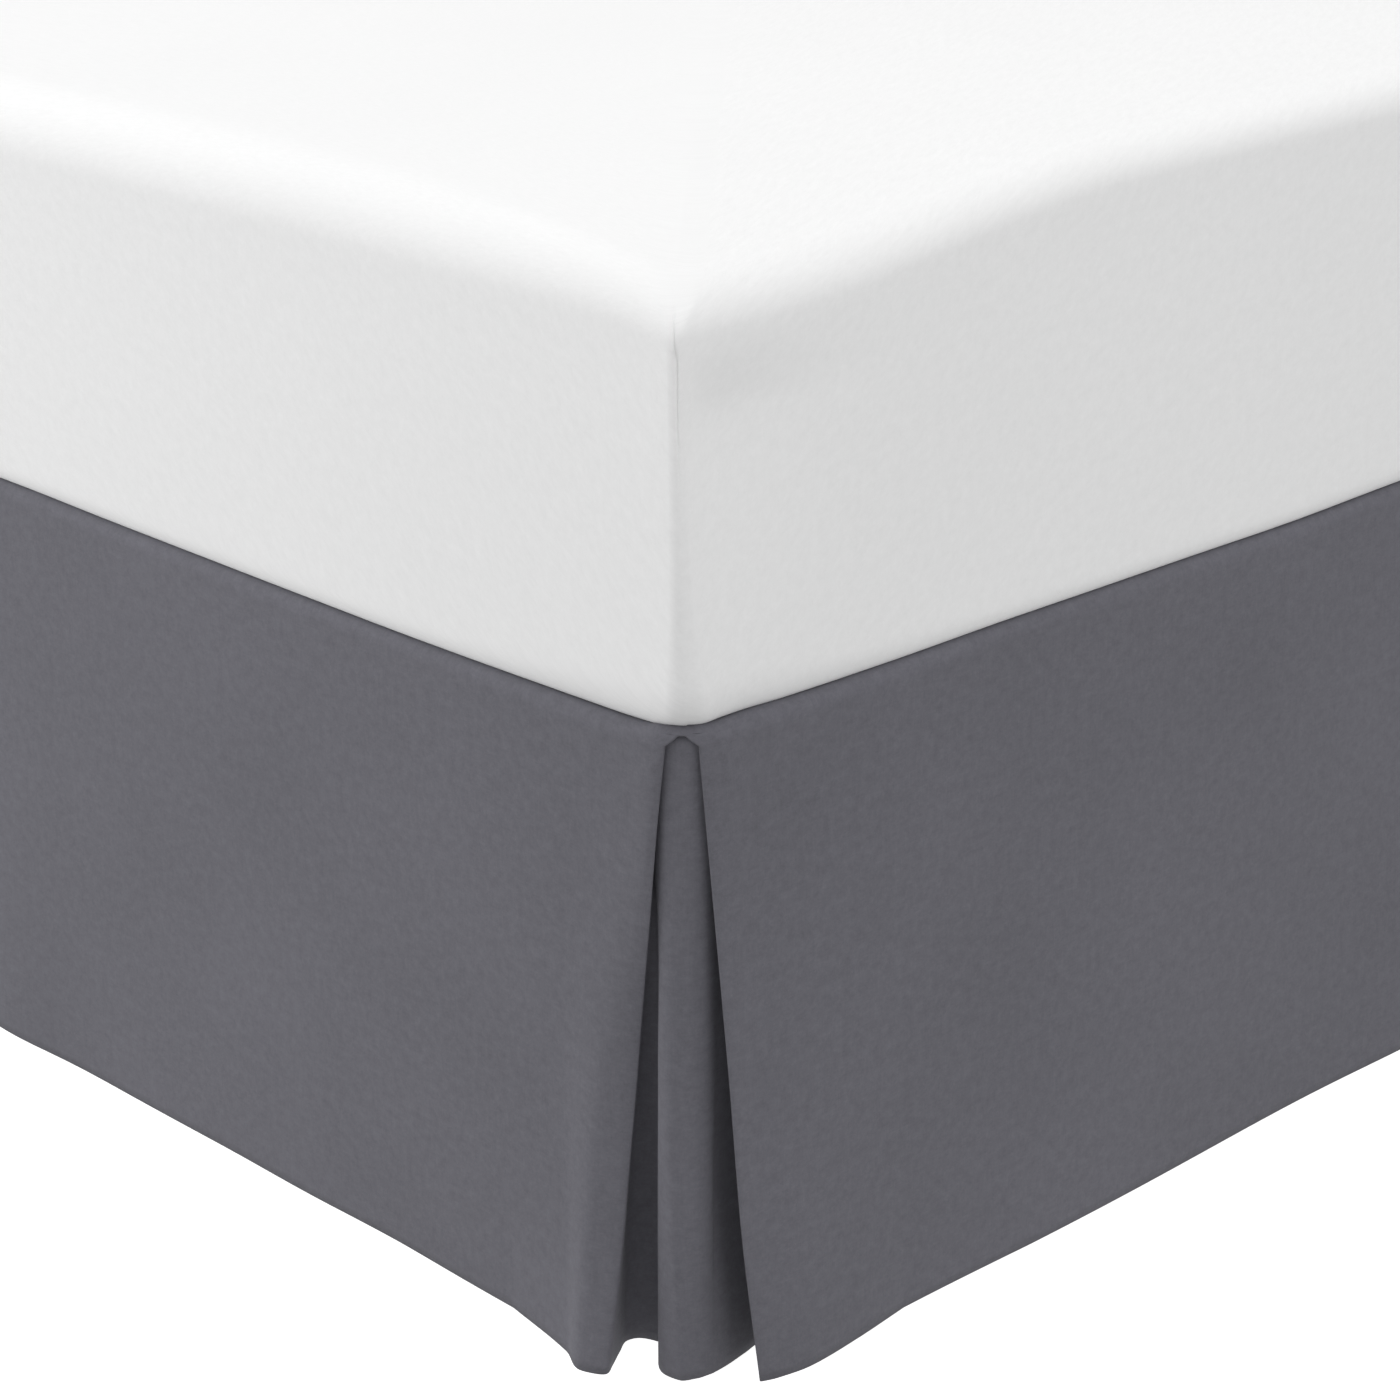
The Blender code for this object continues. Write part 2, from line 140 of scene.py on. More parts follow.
cameraData = bpy.data.cameras.new("camera")
cameraData.sensor_width = view["sensor"]
cameraData.lens = view["lens"]
cameraData.clip_start = view["nearest"]
cameraData.clip_end = view["farthest"]
camera = bpy.data.objects.new("camera", cameraData)
rightWay = Vector(view["right"]).normalized()
backWay = rightWay.cross(Vector(view["up"])).normalized()
upWay = backWay.cross(rightWay)
turn = Matrix((rightWay, upWay, backWay)).transposed().to_4x4()
camera.matrix_world = Matrix.Translation(view["place"]) @ turn
bpy.context.scene.collection.objects.link(camera)
bpy.context.scene.camera = camera
bpy.context.scene.view_settings.view_transform = "Standard"

# a bright dome above the floor's level, a dim one below it
sky = bpy.data.worlds.new("studioSky")
sky.use_nodes = True
skyNodes = Nodes(sky.node_tree)
way = skyNodes.add("ShaderNodeTexCoord", {}, {}, 0)
height = skyNodes.add("ShaderNodeSeparateXYZ", {}, {0: way}, 2)
above = skyNodes.add("ShaderNodeMath", {"operation": "GREATER_THAN"}, {0: height, 1: 0.0})
glow = studio["skyBelow"] + above * (studio["skyAbove"] - studio["skyBelow"])
sky.node_tree.links.new(glow.socket, sky.node_tree.nodes["Background"].inputs["Strength"])
sky.node_tree.nodes["Background"].inputs["Color"].default_value = (1.0, 1.0, 1.0, 1.0)
bpy.context.scene.world = sky

for name, (around, rise, distance, size, power) in studio["lamps"].items():
    lampData = bpy.data.lights.new(name, "AREA")
    lampData.energy = power
    lampData.size = size
    lamp = bpy.data.objects.new(name, lampData)
    around, rise = math.radians(around), math.radians(rise)
    way = Vector((math.sin(around) * math.cos(rise), -math.cos(around) * math.cos(rise), math.sin(rise)))
    lamp.location = Vector(studio["aim"]) + way * distance
    lamp.rotation_euler = way.to_track_quat("Z", "Y").to_euler()
    bpy.context.scene.collection.objects.link(lamp)


# ---- finishes

# what all the cloths share; the relief's depth is in metres
clothLook = {
    "sheenRough": 0.45, "ior": 1.45, "specular": 0.25, "threadScale": 1100.0, "threadSquash": 0.06,
    "mottleDetail": 4.0, "mottleRough": 0.95, "cloudDetail": 3.0, "cloudRough": 0.55, "roughCloud": 0.06,
    "reliefThread": 0.5, "reliefSlub": 0.9, "reliefMottle": 0.6, "reliefDepth": 0.0002,
}


def wovenCloth(name, color, weave):
    # fine plain weave on the piece's own cloth map, in metres along the cloth and up it
    look = clothLook
    cloth = Finish(name, **{
        "Sheen Weight": weave["sheen"], "Sheen Roughness": look["sheenRough"],
        "IOR": look["ior"], "Specular IOR Level": look["specular"],
    })
    place = cloth.add("ShaderNodeUVMap", {"uv_map": "cloth"})
    u = cloth.add("ShaderNodeSeparateXYZ", {}, {0: place}, 0)
    v = cloth.add("ShaderNodeSeparateXYZ", {}, {0: place}, 1)
    across = cloth.sine(u * (2 * math.pi / weave["pitch"]))
    upwards = cloth.sine(v * (2 * math.pi / weave["pitch"]))
    overUnder = across * upwards
    squash, fine = look["threadSquash"], look["threadScale"]
    longThreads = cloth.add("ShaderNodeMapping", {}, {"Vector": place, "Scale": (1.0, squash, 1.0)})
    wideThreads = cloth.add("ShaderNodeMapping", {}, {"Vector": place, "Scale": (squash, 1.0, 1.0)})
    slub = cloth.noise(longThreads, fine) + cloth.noise(wideThreads, fine) - 1.0
    mottle = cloth.noise(place, weave["mottleScale"], look["mottleDetail"], look["mottleRough"]) - 0.5
    body = cloth.add("ShaderNodeTexCoord", {}, {}, 3)
    cloud = cloth.noise(body, weave["cloud"], look["cloudDetail"], look["cloudRough"]) - 0.5
    tone = 0.5 + slub * weave["slub"] + mottle * weave["mottle"] + cloud * weave["clouding"]
    tone = tone + overUnder * weave["thread"]
    dark = tuple(c * (1 - weave["spread"]) for c in color) + (1.0,)
    light = tuple(c * (1 + weave["spread"]) for c in color) + (1.0,)
    shade = cloth.blend(tone, dark, light)
    rough = weave["rough"] + cloud * look["roughCloud"]
    height = overUnder * look["reliefThread"] + slub * look["reliefSlub"] + mottle * look["reliefMottle"]
    relief = cloth.bump(height, weave["bump"], look["reliefDepth"])
    return cloth.feed(Base_Color=shade, Roughness=rough, Normal=relief)


greyWeave = {
    "pitch": 0.00060, "sheen": 0.06, "cloud": 5.0, "slub": 0.25, "mottle": 1.70, "mottleScale": 130.0,
    "clouding": 0.75, "thread": 0.07, "spread": 0.22, "rough": 0.86, "bump": 0.35,
}
whiteWeave = {
    "pitch": 0.00045, "sheen": 0.04, "cloud": 4.0, "slub": 0.25, "mottle": 1.70, "mottleScale": 130.0,
    "clouding": 0.40, "thread": 0.07, "spread": 0.048, "rough": 0.80, "bump": 0.15,
}
tickingWeave = {
    "pitch": 0.00090, "sheen": 0.04, "cloud": 6.0, "slub": 0.35, "mottle": 0.60, "mottleScale": 100.0,
    "clouding": 0.30, "thread": 0.15, "spread": 0.06, "rough": 0.85, "bump": 0.40,
}
greyCloth = wovenCloth("greyMicrofibre", (0.136, 0.134, 0.155), greyWeave)
whiteCloth = wovenCloth("whiteSheeting", (0.905, 0.905, 0.905), whiteWeave)
deckCloth = wovenCloth("deckSheeting", (0.72, 0.72, 0.70), whiteWeave)
ticking = wovenCloth("springCover", (0.62, 0.61, 0.58), tickingWeave)


paintLook = {
    "coat": 0.15, "coatRough": 0.35, "rough": 0.36, "roughDust": 0.2,
    "dustScale": 9.0, "dustDetail": 4.0, "dustRough": 0.6, "dustLighter": 0.035,
    "peelScale": 900.0, "peelDetail": 1.0, "peelBump": 0.15, "peelDepth": 0.0002,
}


def satinPaint(name, color, look):
    # dark stoved paint with a faint orange peel, and dust in soft clouds
    coat = {"Coat Weight": look["coat"], "Coat Roughness": look["coatRough"]}
    paint = Finish(name, **{"Metallic": 0.0, **coat})
    place = paint.add("ShaderNodeTexCoord", {}, {}, 3)
    dust = paint.noise(place, look["dustScale"], look["dustDetail"], look["dustRough"])
    peel = paint.noise(place, look["peelScale"], look["peelDetail"])
    dusty = tuple(c + look["dustLighter"] for c in color) + (1.0,)
    shade = paint.blend(dust * dust, color + (1.0,), dusty)
    relief = paint.bump(peel, look["peelBump"], look["peelDepth"])
    return paint.feed(Base_Color=shade, Roughness=look["rough"] + dust * look["roughDust"], Normal=relief)


steelPaint = satinPaint("framePaint", (0.028, 0.028, 0.030), paintLook)

floorFinish = Finish("paleFloor", **{"Roughness": studio["floorRough"]})
floorFinish.shader.inputs["Base Color"].default_value = (*studio["floorColor"], 1.0)
floorFinish.shader.inputs["Emission Color"].default_value = (1.0, 1.0, 1.0, 1.0)
floorFinish.shader.inputs["Emission Strength"].default_value = studio["floorGlow"]
floorMesh = bpy.data.meshes.new("floor")
reach = studio["floorHalf"]
floorCorners = [(-reach, -reach, 0), (reach, -reach, 0), (reach, reach, 0), (-reach, reach, 0)]
floorMesh.from_pydata(floorCorners, [], [(0, 1, 2, 3)])
floorMesh.materials.append(floorFinish.material)
floor = bpy.data.objects.new("floor", floorMesh)
bpy.context.scene.collection.objects.link(floor)
floor.visible_diffuse = False  # the pale floor sends no light up into the folds
floor.visible_shadow = False
print("bed skirt: camera, light, floor and finishes made")


# ---- mesh from grids of points

def gridPiece(name, grid, finish, clothMap, around=False, inwards=False):
    # quads between neighbouring rows and columns;
    # "around" closes each row on itself and "inwards" turns the faces over
    rows, columns = grid.shape[:2]
    index = np.arange(rows * columns).reshape(rows, columns)
    if around:
        index = np.concatenate([index, index[:, :1]], axis=1)
    corners = [index[:-1, :-1], index[:-1, 1:], index[1:, 1:], index[1:, :-1]]
    faces = np.stack(corners, axis=-1).reshape(-1, 4)
    if inwards:
        faces = faces[:, ::-1]
    mesh = bpy.data.meshes.new(name)
    mesh.vertices.add(rows * columns)
    mesh.vertices.foreach_set("co", grid.reshape(-1))
    mesh.loops.add(faces.size)
    mesh.loops.foreach_set("vertex_index", faces.reshape(-1).astype(np.int32))
    mesh.polygons.add(len(faces))
    mesh.polygons.foreach_set("loop_start", np.arange(0, faces.size, 4, dtype=np.int32))
    mesh.update(calc_edges=True)
    layer = mesh.uv_layers.new(name="cloth")
    layer.data.foreach_set("uv", clothMap.reshape(-1, 2)[faces.reshape(-1)].reshape(-1))
    mesh.shade_smooth()
    mesh.materials.append(finish)
    piece = bpy.data.objects.new(name, mesh)
    bpy.context.scene.collection.objects.link(piece)
    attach(piece, "root")
    return piece


seamTolerance = 0.00001


def closeSeams(piece):
    # joins points that lie on each other, where the rings of a block run together
    work = bmesh.new()
    work.from_mesh(piece.data)
    bmesh.ops.remove_doubles(work, verts=work.verts, dist=seamTolerance)
    work.to_mesh(piece.data)
    work.free()
    return piece


def lengthsAlong(grid):
    # length of cloth from the first column to each column, row by row
    steps = np.linalg.norm(np.diff(grid, axis=1), axis=2)
    return np.concatenate([np.zeros((len(grid), 1)), np.cumsum(steps, axis=1)], axis=1)


def thicken(piece, thickness):
    # gives a sheet its thickness, half to each side
    shell = piece.modifiers.new("clothThickness", "SOLIDIFY")
    shell.thickness = thickness
    shell.offset = 0.0


def smoothStep(x, low, high):
    t = np.clip((x - low) / (high - low), 0, 1)
    return t * t * (3 - 2 * t)


# ---- the skirt's hanging shape, shared by its drops and inserts

skirt = {
    "halfWidth": 0.764, "length": 2.036, "footY": -1.0095, "cloth": 0.0008, "faceDepth": 0.0006,
    "cornerRadius": 0.032, "turnStart": 0.3725, "turnUp": 0.009, "turnIn": 0.008, "lipEnd": 0.016,
    "layerStep": 0.0022, "innerLip": 0.001, "hangRows": 64, "turnRows": 26, "archTop": 39.0,
    "archStep": 0.8, "chamferClosing": 0.72, "tableStart": 0.145, "columnSpacing": 0.008, "fineness": 4,
    "waveFade": 0.10, "dentFade": 0.05, "dentsEnd": (0.05, 0.005), "lipParts": (0.4, 1.0), "liftStart": 0.10,
}
quarterArc = skirt["cornerRadius"] * math.pi / 4
levelHeights = np.array([0.006, 0.100, 0.190, 0.280, skirt["turnStart"]])

# height that the top edge gains or loses (mm), by the distance from the corner along the outline (mm)
topEdge = {
    "along": (
        -1016, -800, -602, -496, -397, -304, -217, -135, -96, -58, -29, -17, -4, 8, 19,
        32, 45, 73, 109, 145, 220, 300, 384, 472, 564, 760, 1000, 1300, 1600, 2040,
    ),
    "lift": (
        -0.6, 1.0, 2.1, 0.6, -0.4, -1.2, -1.8, -1.9, -2.0, -2.0, -1.0, 1.1, 1.6, 2.0, 1.5,
        1.9, 1.8, 0.7, 0.4, 0.4, 0.8, 0.1, -0.7, -1.7, -0.5, 0.8, -1.0, 0.6, -1.2, 0.2,
    ),
}


def outline(along, depth):
    # seen from above: straight along the foot, round a quarter circle, straight along the side;
    # depth moves the point inwards at right angles
    onArc = np.clip(along, -quarterArc, quarterArc)
    angle = onArc / skirt["cornerRadius"] - math.pi / 4
    run = along - onArc
    radius = skirt["cornerRadius"]
    x = -radius + (radius - depth) * np.cos(angle) - run * np.sin(angle)
    y = radius + (radius - depth) * np.sin(angle) + run * np.cos(angle)
    return x, y


def throughLevels(levels, values, heights):
    # smooth curve through the values at the levels that never overshoots, read at all heights at once
    gaps = np.diff(levels)
    slopes = np.diff(values, axis=0) / gaps.reshape(-1, *[1] * (values.ndim - 1))
    product = slopes[:-1] * slopes[1:]
    total = np.where(product > 0, slopes[:-1] + slopes[1:], 1.0)
    inner = np.where(product > 0, 2 * product / total, 0.0)
    tangents = np.concatenate([slopes[:1], inner, slopes[-1:]])
    heights = np.clip(heights, levels[0], levels[-1])
    i = np.minimum(np.searchsorted(levels, heights, side="right") - 1, len(gaps) - 1)
    shape = (-1, *[1] * (values.ndim - 1))
    t = ((heights - levels[i]) / gaps[i]).reshape(shape)
    gap = gaps[i].reshape(shape)
    return (
        values[i] * (1 + 2 * t) * (1 - t) ** 2 + values[i + 1] * t ** 2 * (3 - 2 * t)
        + gap * (tangents[i] * t * (1 - t) ** 2 - tangents[i + 1] * t ** 2 * (1 - t))
    )


def throughPoints(points, counts):
    # smooth curve through each row's points, each stretch in its own number of equal parts
    chords = np.maximum(np.linalg.norm(np.diff(points, axis=1), axis=2, keepdims=True), 1e-9)
    slopes = np.diff(points, axis=1) / chords
    middle = (points[:, 2:] - points[:, :-2]) / (chords[:, 1:] + chords[:, :-1])
    tangents = np.concatenate([slopes[:, :1], middle, slopes[:, -1:]], axis=1)
    stretches = []
    for i, count in enumerate(counts):
        t = (np.arange(count) / count)[None, :, None]
        start, end = slice(i, i + 1), slice(i + 1, i + 2)
        stretches.append(
            points[:, start] * (1 + 2 * t) * (1 - t) ** 2 + points[:, end] * t ** 2 * (3 - 2 * t)
            + chords[:, start] * (tangents[:, start] * t * (1 - t) ** 2 - tangents[:, end] * t ** 2 * (1 - t))
        )
    return np.concatenate(stretches + [points[:, -1:]], axis=1)


def topLift(along):
    # height gained at a distance along the outline, smooth through the table
    places = np.array(topEdge["along"]) / 1000
    lifts = np.array(topEdge["lift"])[:, None] / 1000
    return throughLevels(places, lifts, np.ravel(along))[:, 0].reshape(np.shape(along))


# the rows of a hanging sheet: straight up from the hem, then a quarter of an ellipse over the edge
hangHeights = np.linspace(levelHeights[0], skirt["turnStart"], skirt["hangRows"], endpoint=False)
archAngles = [skirt["archTop"], skirt["archTop"] + skirt["archStep"]]
turnAngles = np.sort(np.concatenate([np.linspace(0, 90, skirt["turnRows"]), archAngles]))
rowHeights = np.concatenate([hangHeights, np.full(len(turnAngles), skirt["turnStart"])])
chamferPart = np.sin(np.radians(turnAngles)) / math.sin(math.radians(skirt["archTop"]))
turnClosing = np.where(turnAngles <= skirt["archTop"], skirt["chamferClosing"] * chamferPart, 1.0)
rowClosing = np.concatenate([np.zeros(len(hangHeights)), turnClosing])
rowAngles = np.radians(np.concatenate([np.zeros(len(hangHeights)), turnAngles]))


def foldPlan(folds):
    # fold lines by row: five levels from hem to mouth, and where the line goes when the mouth has closed
    table = np.array([line[:6] for line in folds.values()], dtype=float).transpose(1, 0, 2) / 1000
    opened = throughLevels(levelHeights, table[:5], rowHeights)
    points = opened + (table[5] - table[4]) * rowClosing[:, None, None]
    counts = [line[6] * skirt["fineness"] for line in folds.values()][:-1]
    return throughPoints(points, counts)


def flatPlan(start, end, wave, dents):
    # the flat of a drop: straight, with slow waves that grow towards the hem and a few soft dents
    columns = int(round(abs(end - start) / skirt["columnSpacing"]))
    along = start + (end - start) * np.arange(1, columns + 1)[None, :] / columns
    height = rowHeights[:, None]
    grown = np.clip((skirt["turnStart"] - height) / (skirt["turnStart"] - levelHeights[0]), 0, 1) ** 2
    run = np.abs(along - start)
    away = np.minimum(1.0, run / skirt["waveFade"])
    depth = wave["depth"] * grown * away * np.sin(2 * math.pi * run / wave["length"])
    depth = depth + dentDepth(along, height, dents) * smoothStep(run, 0.0, skirt["dentFade"])
    return np.stack([along + 0 * height, skirt["faceDepth"] + depth], axis=2)


def dentDepth(along, height, dents):
    # each dent is a round bell of its own width and height; it fades before the turned edge
    total = 0 * along * height
    for middleAlong, middleHeight, halfLength, halfHeight, depth in dents:
        far = ((along - middleAlong) / halfLength) ** 2 + ((height - middleHeight) / halfHeight) ** 2
        total = total + depth / 1000 * np.exp(-far)
    fadeStart, fadeEnd = (skirt["turnStart"] - below for below in skirt["dentsEnd"])
    return total * (1 - smoothStep(height, fadeStart, fadeEnd))


def hangSheet(plan):
    # hang a plan: below the turn it stands at its own height, in the turn each layer curls inside the
    # one above, and the outermost layer runs on into the lip
    along, depth = plan[..., 0], plan[..., 1]
    centre = skirt["faceDepth"] + skirt["turnIn"]
    behind = depth - skirt["faceDepth"]
    angle = rowAngles[:, None]
    turned = centre - (centre - depth) * np.cos(angle)
    height = rowHeights[:, None] + (skirt["turnUp"] - behind) * np.sin(angle)
    lipRows = []
    topZ = skirt["turnStart"] + skirt["turnUp"]
    topLayer = np.clip((height[-1:] - (topZ - skirt["layerStep"])) / skirt["layerStep"], 0, 1)
    run = skirt["innerLip"] + (skirt["lipEnd"] - centre - skirt["innerLip"]) * topLayer ** 2
    for part in skirt["lipParts"]:
        lipRows.append((along[-1:], turned[-1:] + run * part, height[-1:]))
    along = np.concatenate([along] + [row[0] for row in lipRows])
    turned = np.concatenate([turned] + [row[1] for row in lipRows])
    height = np.concatenate([height] + [row[2] for row in lipRows])
    lift = topLift(along) * smoothStep(height, skirt["liftStart"], skirt["turnStart"])
    x, y = outline(along, turned)
    return np.stack([skirt["halfWidth"] + x, skirt["footY"] + y, height + lift], axis=2)


def clothMapOf(grid, middleColumn):
    # cloth map: length along the cloth from one column, and length up it from the hem
    across = lengthsAlong(grid)
    upwards = lengthsAlong(grid.transpose(1, 0, 2)).T
    return np.stack([across - across[:, middleColumn:middleColumn + 1], np.maximum(upwards, 0)], axis=2)


mirror = np.array([-1.0, 1.0, 1.0])

# ---- foot drop: fold lines (distance along the outline, depth), mm, at the hem, knee, rail, upper,
# mouth and closed mouth, and the columns up to the next line
footDropShape = {
    "flat": [(-145, 0.6), (-145, 0.6), (-145, 0.6), (-145, 0.6), (-145, 0.6), (-145, 0.6), 4],
    "swell": [(-90, -8.8), (-93.5, -2.7), (-94.5, 0.1), (-89, 0.4), (-82, 0.6), (-82, 0.6), 6],
    "rollStart": [(-73, -16.3), (-71, -7.8), (-63, -3.0), (-45, -0.9), (-20, 0.6), (-12, 0.6), 3],
    "rollFront": [(-62.5, -13.4), (-58.6, -3.0), (-50, 0.6), (-32.5, 0.3), (-12.3, 0.7), (-2.6, 0.62), 3],
    "rollEdge": [(-57.6, -9.0), (-52, 2.2), (-42.2, 6.1), (-26.2, 3.0), (-11.5, 1.6), (-2.0, 1.1), 3],
    "rollBack": [(-61.8, -1.3), (-54, 5.4), (-44.9, 8.2), (-28.6, 5.2), (-12.3, 2.5), (-2.6, 1.7), 3],
    "return": [(-69.9, 11.4), (-60, 10.4), (-48.9, 11.1), (-32.4, 7.6), (-20, 2.6), (-12, 2.2), 3],
    "behind": [(-75.2, 20.6), (-64, 18), (-51, 14), (-34.5, 9.5), (-45, 2.6), (-45, 2.4), 3],
    "valley": [(-72.5, 28.2), (-60, 25.5), (-47, 18.5), (-32.5, 12), (-60, 2.8), (-60, 2.8), 3],
    "seamEdge": [(-62, 33), (-51, 28.5), (-39, 20), (-29.8, 13.2), (-68, 3), (-68, 3), 2],
    "innerSeam": [(-52, 34), (-43, 29), (-33.4, 20.2), (-26.8, 13.8), (-75, 3.1), (-75, 3.1), 1],
}
footWave = {"depth": 0.0018, "length": 0.49}
footDents = (
    (-0.42, 0.15, 0.12, 0.10, 0.7), (-0.24, 0.10, 0.07, 0.07, -0.7), (-0.60, 0.22, 0.10, 0.10, -0.5),
    (-0.33, 0.27, 0.10, 0.06, 0.4), (-0.645, 0.0, 0.06, 0.16, -6.0), (-0.33, 0.0, 0.06, 0.12, -1.8),
)
footMiddle = -(skirt["halfWidth"] - skirt["cornerRadius"] + quarterArc)
footFlat = flatPlan(-skirt["tableStart"], footMiddle, footWave, footDents)
footHalf = hangSheet(np.concatenate([footFlat[:, ::-1], foldPlan(footDropShape)], axis=1))
footHalf[:, 0, 0] = 0.0
footGrid = np.concatenate([(footHalf * mirror)[:, :0:-1], footHalf], axis=1)
footDrop = gridPiece("footDrop", footGrid, greyCloth, clothMapOf(footGrid, footHalf.shape[1] - 1))
thicken(footDrop, skirt["cloth"])
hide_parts("drop_foot")
print("bed skirt: foot drop hung")

# ---- side drops
sideDropShape = {
    "innerSeam": [(90.6, 12.8), (83.4, 5.5), (79, 3.1), (76.9, 3.1), (75, 3.1), (75, 3.1), 2],
    "return": [(70, 8.6), (60.1, 4.3), (53.2, 2.9), (49, 2.8), (45, 2.6), (45, 2.4), 3],
    "near": [(49, 3.6), (39.4, 2.8), (31.7, 2.4), (25.8, 2.4), (20, 2.4), (10, 2.2), 3],
    "creaseBack": [(38.2, 2.0), (27.0, 2.0), (20.6, 2.0), (14.0, 2.1), (7.6, 2.1), (-2.6, 1.8), 2],
    "crease": [(37.1, 1.2), (25.9, 1.3), (19.5, 1.3), (13.0, 1.3), (6.6, 1.35), (-3.2, 1.1), 2],
    "creaseFront": [(38.2, 0.3), (27.0, 0.4), (20.6, 0.5), (14.0, 0.6), (7.6, 0.6), (-2.6, 0.6), 3],
    "edge": [(46, -2.8), (37.9, -0.7), (30.7, 0.2), (24.4, 0.4), (18, 0.6), (10, 0.6), 5],
    "swell": [(67, -6.6), (64.1, -3.2), (60.8, -1.2), (56.5, -0.2), (52, 0.6), (52, 0.6), 4],
    "swellEnd": [(104, -4.4), (102.8, -1.7), (101.5, -0.4), (99.8, 0.2), (98, 0.6), (98, 0.6), 4],
    "flat": [(145, 0.6), (145, 0.6), (145, 0.6), (145, 0.6), (145, 0.6), (145, 0.6), 1],
}
sideWave = {"depth": -0.0022, "length": 0.55}
sideDents = (
    (0.215, 0.13, 0.05, 0.06, 0.8), (0.50, 0.16, 0.08, 0.08, 0.8), (0.34, 0.10, 0.07, 0.08, -0.6),
    (0.90, 0.18, 0.12, 0.10, 0.7), (1.35, 0.12, 0.14, 0.10, -0.8), (0.60, 0.0, 0.08, 0.16, -3.0),
)
sideEnd = skirt["length"] - skirt["cornerRadius"] + quarterArc
sideFlat = flatPlan(skirt["tableStart"], sideEnd, sideWave, sideDents)
sideGrid = hangSheet(np.concatenate([foldPlan(sideDropShape), sideFlat], axis=1))
sideMap = clothMapOf(sideGrid, sideGrid.shape[1] - 1)
for word, flip in (("Right", False), ("Left", True)):
    grid = sideGrid * mirror if flip else sideGrid
    sideDrop = gridPiece("sideDrop" + word, grid, greyCloth, sideMap, inwards=flip)
    thicken(sideDrop, skirt["cloth"])
    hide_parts("drop_" + word.lower())
print("bed skirt: side drops hung")

# ---- inserts behind the corner pleats
insertShape = {
    "footSeam": [(-61, 36.5), (-51, 31.5), (-39.5, 22.5), (-29.5, 15.5), (-82, 4.8), (-82, 4.8), 1],
    "seamTurn": [(-51, 36.5), (-43, 31.5), (-33, 22), (-25, 15), (-75, 4.8), (-75, 4.8), 2],
    "footWing": [(-48.5, 33), (-41.2, 27), (-31.2, 19), (-24.8, 14), (-62, 5.0), (-62, 5.0), 3],
    "grooveIn": [(-48.3, 28), (-41.6, 22.5), (-31.7, 16.8), (-25.8, 12.8), (-50, 5.0), (-50, 5.0), 3],
    "groove": [(-48, 22.6), (-40.8, 18.6), (-32.3, 14.4), (-27.2, 11.2), (-40, 5.0), (-40, 5.0), 3],
    "shoulder": [(-45.3, 17.6), (-38.4, 14.2), (-31.3, 11.1), (-26.6, 9.4), (-32, 5.0), (-32, 5.0), 3],
    "front": [(-36.4, 12.9), (-31.2, 9.9), (-25.5, 7.7), (-23.2, 8.0), (-22, 5.0), (-22, 5.0), 3],
    "frontBend": [(-24.3, 14.6), (-20.3, 8.7), (-17.2, 6.3), (-15.7, 6.4), (-12, 5.0), (-12, 5.0), 3],
    "ridge": [(-13.5, 20), (-9.5, 12.2), (-7.8, 8.0), (-5, 6.6), (0, 5.0), (0, 5.0), 3],
    "sideBend": [(6, 24.4), (7, 17), (6.6, 12.0), (8.5, 8.6), (12, 5.0), (12, 5.0), 3],
    "side": [(33, 25.4), (28, 23), (25, 17), (23.8, 11), (25, 5.0), (25, 5.0), 3],
    "sideBack": [(50, 27.8), (45, 24), (41, 15.5), (38.3, 8.5), (38, 5.0), (38, 5.0), 3],
    "sideWing": [(66, 30.4), (60, 18), (56, 7.5), (53, 5.5), (52, 5.0), (52, 5.0), 3],
    "turn": [(82, 26), (74, 11), (68.9, 5.1), (66.3, 5.0), (64, 5.0), (64, 5.0), 3],
    "sideSeam": [(92, 15.6), (83.7, 7.4), (79, 4.8), (76.9, 4.8), (75, 4.8), (75, 4.8), 1],
}
insertGrid = hangSheet(foldPlan(insertShape))
insertMap = clothMapOf(insertGrid, insertGrid.shape[1] // 2)
for word, flip in (("Right", False), ("Left", True)):
    grid = insertGrid * mirror if flip else insertGrid
    insert = gridPiece("pleatInsert" + word, grid, greyCloth, insertMap, inwards=flip)
    thicken(insert, skirt["cloth"])
    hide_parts("pleat_insert_" + word.lower())
print("bed skirt: pleat inserts hung")


# ---- blocks with rounded edges: mattress and box spring

def edgePositions(count):
    # positions from -1 to 1 along a straight edge, close together near its ends
    return -np.cos(math.pi * (np.arange(count) / count))


def roundedRing(halfX, halfY, radius, counts):
    # rounded rectangle, anticlockwise from the +X side; arrays hold one ring per row
    straightX, straightY, cornerCount = counts
    halfX, halfY, radius = (np.asarray(v, dtype=float)[:, None] for v in (halfX, halfY, radius))
    spreadX = edgePositions(straightX)[None, :]
    spreadY = edgePositions(straightY)[None, :]
    arc = (np.arange(cornerCount) / cornerCount * math.pi / 2)[None, :]
    innerX, innerY = halfX - radius, halfY - radius
    parts = []
    for quarter, (sx, sy) in enumerate(((1, 1), (-1, 1), (-1, -1), (1, -1))):
        if quarter % 2 == 0:  # up the +X side, down the -X side
            parts.append((sx * (innerX + radius) + 0 * spreadY, sx * innerY * spreadY))
        else:  # along the +Y side to -X, along the -Y side to +X
            parts.append((sx * innerX * spreadX, sy * (innerY + radius) + 0 * spreadX))
        angle = arc + quarter * math.pi / 2
        parts.append((sx * innerX + radius * np.cos(angle), sy * innerY + radius * np.sin(angle)))
    x = np.concatenate([p[0] for p in parts], axis=1)
    y = np.concatenate([p[1] for p in parts], axis=1)
    return x, y


